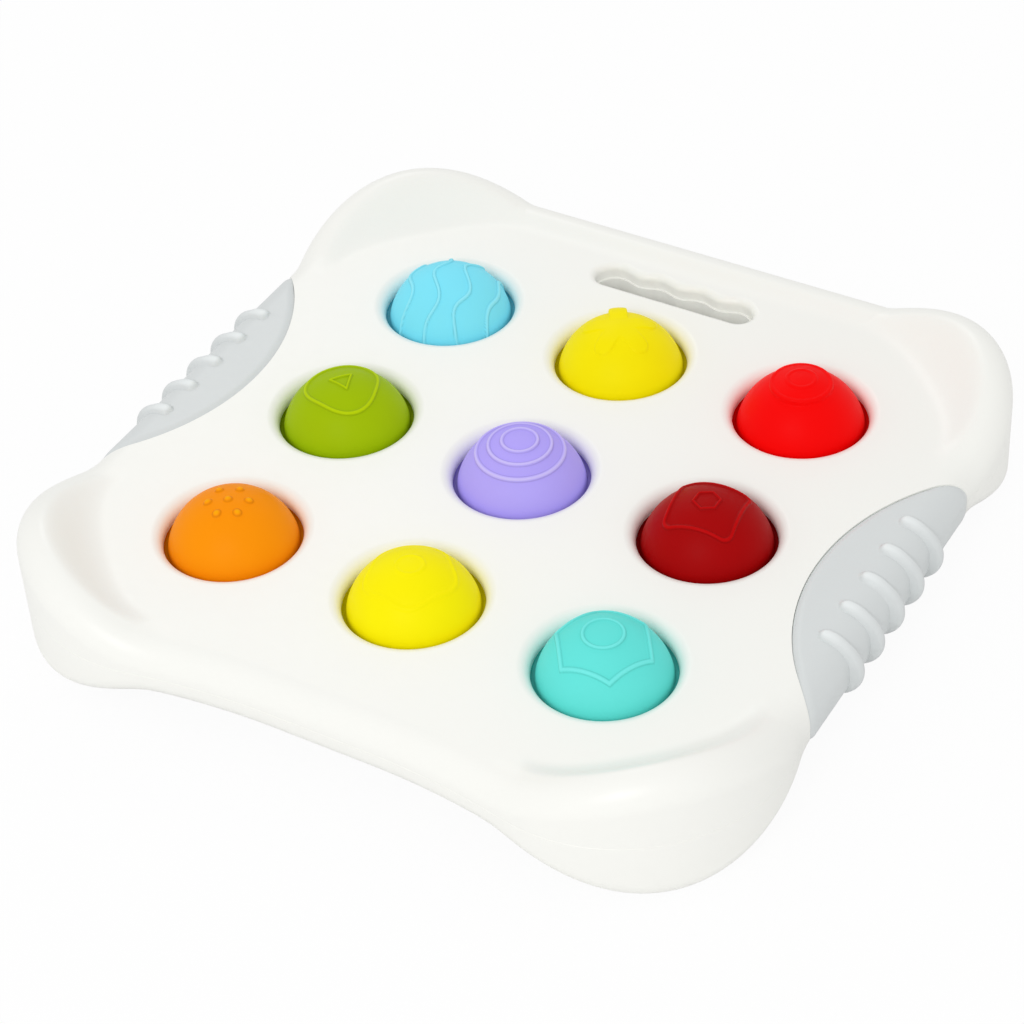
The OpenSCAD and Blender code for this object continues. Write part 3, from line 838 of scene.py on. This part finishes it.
def build_popper(case, domes, k):
    """One dome: a silicone skin with its figure, a thicker middle and a clamped flange."""
    name = DOME_NAMES[k]
    rings, figure = popper_rings(case, domes, k)
    skin = Skin()
    skin.loft(rings)
    popper = skin.to_object(name + "_popper")
    full = np.zeros(len(skin.points))
    full[:len(figure)] = figure / figure.max() * (name in LINED)
    line_shade, line_foot = 0.5, 1.6
    painted_line_shade = line_shade * np.sin(math.pi * np.clip(full * line_foot, 0, 1))
    shade_z = case.deck_z - 2.4 * MM
    trough_z = case.deck_z - case.rim_t - domes.trough
    depth = (shade_z - np.array(skin.points)[:, 2]) / (shade_z - trough_z)
    # Painted highlight on the crests of the raised lines
    store(popper, "crest", ease(np.clip(full * 2 - 1, 0, 1)))
    # Painted shade along the lines' feet and on the dome's lower flank down into the groove
    store(popper, "crease", painted_line_shade + ease(np.clip(depth, 0, 1)))
    smooth(popper, degrees=60)
    paint(popper, silicone(name, domes))
    return popper


# The grips

def half_flat(case):
    """Half the height of the flat of the sides, between the two roundings."""
    return (case.deck_z - case.top_round - case.under_z - case.under_round) / 2


def nose_point(case, s):
    """Points and outward normals on the board's edge, s along it from the side's middle, up positive."""
    middle_z = case.under_z + case.under_round + half_flat(case)
    up = s >= 0
    rounding = np.where(up, case.top_round, case.under_round)
    sign = np.where(up, 1, -1)
    past = np.abs(s) - half_flat(case)
    angle = np.clip(past / rounding, 0, math.pi / 2)
    straight = np.maximum(past - rounding * math.pi / 2, 0)
    x = side_x(case) - rounding * (1 - np.cos(angle)) - straight
    z = middle_z + sign * (np.minimum(np.abs(s), half_flat(case)) + rounding * np.sin(angle))
    return x, z, np.cos(angle), sign * np.sin(angle)


def nose_length(case, x, rounding):
    """How far along the board's edge, over one of its roundings, a place is that lies at x."""
    inwards = side_x(case) - x
    angle = np.arccos(np.clip(1 - inwards / rounding, 0, 1))
    return half_flat(case) + rounding * angle + np.maximum(inwards - rounding, 0)


def nose_rows(case, y, low, top, columns):
    """Points and outward normals over the board's edge, one row from low to top at each y."""
    s = -low[:, None] + (top + low)[:, None] * np.linspace(0, 1, columns)
    x, z, nx, nz = nose_point(case, s)
    return x, np.repeat(y[:, None], columns, axis=1), z, nx, nz


def off_rib(grip, y):
    """How far places lie behind the middle of the nearest of the five ribs."""
    return y - np.clip(np.round(y / grip.rib_pitch), -2, 2) * grip.rib_pitch


def rib_height(case, grip, x, z, nx, nz, y):
    """How far the nearest rib stands out along the normal."""
    sunk, facing_up = -5 * MM, 0.5
    centre_x = side_x(case) + grip.rib_out - grip.rib_r
    centre_z = (case.deck_z + case.under_z) / 2
    across = np.abs(off_rib(grip, y))
    half = grip.rib_t / 2
    radius = grip.rib_r - half + np.sqrt(np.maximum(half ** 2 - across ** 2, 0))
    along = (x - centre_x) * nx + (z - centre_z) * nz
    inside = along ** 2 - (x - centre_x) ** 2 - (z - centre_z) ** 2 + radius ** 2
    height = -along + np.sqrt(np.maximum(inside, 0))
    rib = np.where((inside > 0) & (across < half), height, sunk)
    to_line = np.hypot(np.maximum(grip.bead_x + half - x, 0), across)
    bead = grip.proud + grip.bead_h * np.sqrt(np.maximum(1 - (to_line / half) ** 2, 0))
    return np.where((to_line < half) & (nz > facing_up), np.maximum(rib, bead), rib)


def rib_highlight_share(grip, x, nz, y):
    """How much of the painted highlight on the ribs' inner ends shows, from 0 to 1."""
    core_w, fade_l = 1.5, 3.6
    half = grip.rib_t / 2
    core = np.hypot(np.minimum(x - grip.bead_x - half, 0), off_rib(grip, y)) / half
    fade = 1 - ease(np.clip((x - grip.bead_x - half) / (fade_l * half), 0, 1))
    return ease(np.clip(core_w - core_w * core, 0, 1)) * fade * (nz > 0)


def build_grip(case, grip, side, name):
    """A soft grip that wraps the board's edge, with round ribs and a rim that dips into a groove."""
    end_gap = 0.02 * MM
    centre_x = grip.grip_x + grip.grip_r
    edge_r = grip.grip_r - grip.groove
    reach = math.sqrt(edge_r ** 2 - (centre_x - side_x(case)) ** 2) - end_gap
    row_y = reach * np.sin(np.linspace(-math.pi / 2, math.pi / 2, GRIP_ROWS))
    inner_x = centre_x - np.sqrt(edge_r ** 2 - row_y ** 2)
    top = nose_length(case, inner_x, case.top_round)
    low = nose_length(case, inner_x, case.under_round)

    x, y, z, nx, nz = nose_rows(case, row_y, low, top, GRIP_COLUMNS)
    to_edge = np.maximum(edge_r - np.hypot(centre_x - x, y), 0)
    near_rim = np.clip(1 - to_edge / grip.rim_w, 0, 1)
    surface = grip.proud - grip.rim_drop * near_rim ** 2
    rib = rib_height(case, grip, x, z, nx, nz, y)
    height = (surface + rib + np.sqrt((surface - rib) ** 2 + grip.rib_blend ** 2)) / 2
    front = np.stack((side * (x + height * nx), y, z + height * nz), axis=2)
    rib_highlight = rib_highlight_share(grip, x, nz, y)

    x, y, z, nx, nz = nose_rows(case, row_y, low, top, GRIP_BACK_COLUMNS)
    back = np.stack((side * (x - grip.grip_t * nx), y, z - grip.grip_t * nz), axis=2)
    skin = Skin()
    skin.loft(np.concatenate((front, back[:, ::-1]), axis=1))
    piece = skin.to_object(name)
    # Stores the share of the painted highlight on the ribs' inner ends
    store(piece, "bead", np.hstack((rib_highlight, 0 * y)).ravel())
    smooth(piece, degrees=50)
    paint(piece, grip_rubber(grip))
    return piece


# The stage

def build_camera(stage):
    """A camera at the photograph's viewing angle."""
    a, e, r = stage.azimuth, stage.elevation, stage.roll
    back = Vector((math.sin(a) * math.cos(e), -math.cos(a) * math.cos(e), math.sin(e)))
    level = Vector((math.cos(a), math.sin(a), 0))
    upright = back.cross(level)
    right = math.cos(r) * level + math.sin(r) * upright
    up = math.cos(r) * upright - math.sin(r) * level
    data = bpy.data.cameras.new("camera")
    data.lens = stage.lens
    data.sensor_width = 36
    data.clip_start = 0.05
    data.clip_end = 20
    camera = new_object("camera", data)
    turned = Matrix((right, up, back)).transposed().to_4x4()
    camera.matrix_world = Matrix.Translation(Vector(stage.target) + stage.distance * back) @ turned
    bpy.context.scene.camera = camera


def build_lamp(name, place, width, power):
    """A large square soft lamp, turned to the middle of the table."""
    data = bpy.data.lights.new(name, "AREA")
    data.shape = "SQUARE"
    data.size = width
    data.energy = power
    lamp = new_object(name, data)
    lamp.location = place
    lamp.rotation_euler = Vector(place).to_track_quat("Z", "Y").to_euler()


def mix_shaders(tree, factor, first, second, out):
    """Leads from one shader to another as the factor rises."""
    mix = tree.nodes.new("ShaderNodeMixShader")
    for source, socket in zip((factor, first, second), mix.inputs):
        tree.links.new(source, socket)
    tree.links.new(mix.outputs[0], out)


def build_world(stage):
    """Even light from all around, and plain white to the camera, also through clear pieces."""
    world = bpy.data.worlds.new("studio")
    bpy.context.scene.world = world
    world.use_nodes = True
    tree = world.node_tree
    sky = tree.nodes["Background"]
    sky.inputs["Color"].default_value = (1, 1, 1, 1)
    sky.inputs["Strength"].default_value = stage.sky
    white = tree.nodes.new("ShaderNodeBackground")
    white.inputs["Color"].default_value = (1, 1, 1, 1)
    white.inputs["Strength"].default_value = 1
    rays = tree.nodes.new("ShaderNodeLightPath")
    seen = tree.nodes.new("ShaderNodeMath")
    seen.operation = "MAXIMUM"
    tree.links.new(rays.outputs["Is Camera Ray"], seen.inputs[0])
    tree.links.new(rays.outputs["Is Transmission Ray"], seen.inputs[1])
    out = tree.nodes["World Output"].inputs["Surface"]
    mix_shaders(tree, seen.outputs[0], sky.outputs[0], white.outputs[0], out)


def build_floor():
    """A white floor that glows evenly to the camera and keeps a soft shadow."""
    half, grey, glow_share = 3, 0.92, 0.94
    skin = Skin()
    skin.points = [(-half, -half, 0), (half, -half, 0), (half, half, 0), (-half, half, 0)]
    skin.faces = [(0, 1, 2, 3)]
    floor = skin.to_object("floor")
    material = bpy.data.materials.new("floor_white")
    material.use_nodes = True
    tree = material.node_tree
    tree.nodes.clear()
    diffuse = tree.nodes.new("ShaderNodeBsdfDiffuse")
    diffuse.inputs["Color"].default_value = (grey, grey, grey, 1)
    glow = tree.nodes.new("ShaderNodeEmission")
    glow.inputs["Strength"].default_value = 1
    rays = tree.nodes.new("ShaderNodeLightPath")
    amount = tree.nodes.new("ShaderNodeMath")
    amount.operation = "MULTIPLY"
    amount.inputs[1].default_value = glow_share
    tree.links.new(rays.outputs["Is Camera Ray"], amount.inputs[0])
    out = tree.nodes.new("ShaderNodeOutputMaterial").inputs["Surface"]
    mix_shaders(tree, amount.outputs[0], diffuse.outputs[0], glow.outputs[0], out)
    paint(floor, material)


# Operators

class BuildOperator(bpy.types.Operator):
    """Shared base of the operators that build a piece"""
    bl_options = {"REGISTER", "UNDO"}

    def settings(self, context):
        """The sizes and colours of the case, the domes and the grips."""
        scene = context.scene
        return scene.busy_case, scene.busy_domes, scene.busy_grip


class BUSYBOARD_OT_case(BuildOperator):
    """Build both moulded shells of the case"""
    bl_idname = "busyboard.case"
    bl_label = "Build Case"

    def execute(self, context):
        case, domes, grip = self.settings(context)
        for build, node in ((build_top_shell, "top_shell"), (build_bottom_shell, "bottom_shell")):
            shell = build(case, domes, grip)
            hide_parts(node)
            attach(shell, SHELL_BODY)
        return {"FINISHED"}


class BUSYBOARD_OT_domes(BuildOperator):
    """Build the nine silicone domes with their figures"""
    bl_idname = "busyboard.domes"
    bl_label = "Build Domes"

    def execute(self, context):
        case, domes, _ = self.settings(context)
        for k, name in enumerate(DOME_NAMES):
            popper = build_popper(case, domes, k)
            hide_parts(name + "_crown", name + "_skirt")
            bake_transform(popper)
        return {"FINISHED"}


class BUSYBOARD_OT_grips(BuildOperator):
    """Build the soft ribbed grips on both sides"""
    bl_idname = "busyboard.grips"
    bl_label = "Build Grips"

    def execute(self, context):
        case, _, grip = self.settings(context)
        for side, name in ((-1, "left"), (1, "right")):
            piece = build_grip(case, grip, side, name + "_soft_grip")
            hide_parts(name + "_grip")
            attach(piece, SHELL_BODY)
        return {"FINISHED"}


class BUSYBOARD_OT_screws(BuildOperator):
    """Give the case screws their steel finish"""
    bl_idname = "busyboard.screws"
    bl_label = "Finish Screws"

    def execute(self, context):
        paint(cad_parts["case_screws"], screw_steel())
        return {"FINISHED"}


class BUSYBOARD_OT_stage(BuildOperator):
    """Set up the camera, the lamps and the white floor"""
    bl_idname = "busyboard.stage"
    bl_label = "Set Up Stage"

    def execute(self, context):
        stage = context.scene.busy_stage
        build_camera(stage)
        build_world(stage)
        build_floor()
        build_lamp("rear_lamp", place=(-0.7, 0.8, 0.9), width=0.35, power=stage.rear)
        build_lamp("front_lamp", place=(0.2, -1.1, 1.0), width=0.45, power=stage.front)
        context.scene.view_settings.view_transform = "Standard"
        return {"FINISHED"}


class BUSYBOARD_PT_panel(bpy.types.Panel):
    """Panel in the 3D view's sidebar with one button for each group of pieces"""
    bl_label = "Busy Board"
    bl_idname = "BUSYBOARD_PT_panel"
    bl_space_type = "VIEW_3D"
    bl_region_type = "UI"
    bl_category = "Busy Board"

    def draw(self, context):
        for step in STEPS:
            self.layout.operator(step.bl_idname)


STEPS = (
    BUSYBOARD_OT_case,
    BUSYBOARD_OT_domes,
    BUSYBOARD_OT_grips,
    BUSYBOARD_OT_screws,
    BUSYBOARD_OT_stage,
)
SETTINGS = {
    "busy_case": CaseSettings,
    "busy_domes": DomeSettings,
    "busy_grip": GripSettings,
    "busy_stage": StageSettings,
}


def register():
    """Registers the settings, the operators and the panel."""
    for name, group in SETTINGS.items():
        bpy.utils.register_class(group)
        setattr(bpy.types.Scene, name, bpy.props.PointerProperty(type=group))
    for cls in STEPS + (BUSYBOARD_PT_panel,):
        bpy.utils.register_class(cls)


def unregister():
    """Removes the panel, the operators and the settings."""
    for cls in (BUSYBOARD_PT_panel,) + STEPS[::-1]:
        bpy.utils.unregister_class(cls)
    for name, group in SETTINGS.items():
        delattr(bpy.types.Scene, name)
        bpy.utils.unregister_class(group)


def main():
    """Builds every piece in order."""
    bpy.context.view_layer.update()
    register()
    for build in (bpy.ops.busyboard.case, bpy.ops.busyboard.domes, bpy.ops.busyboard.grips,
                  bpy.ops.busyboard.screws, bpy.ops.busyboard.stage):
        build()


if __name__ == "__main__":
    main()
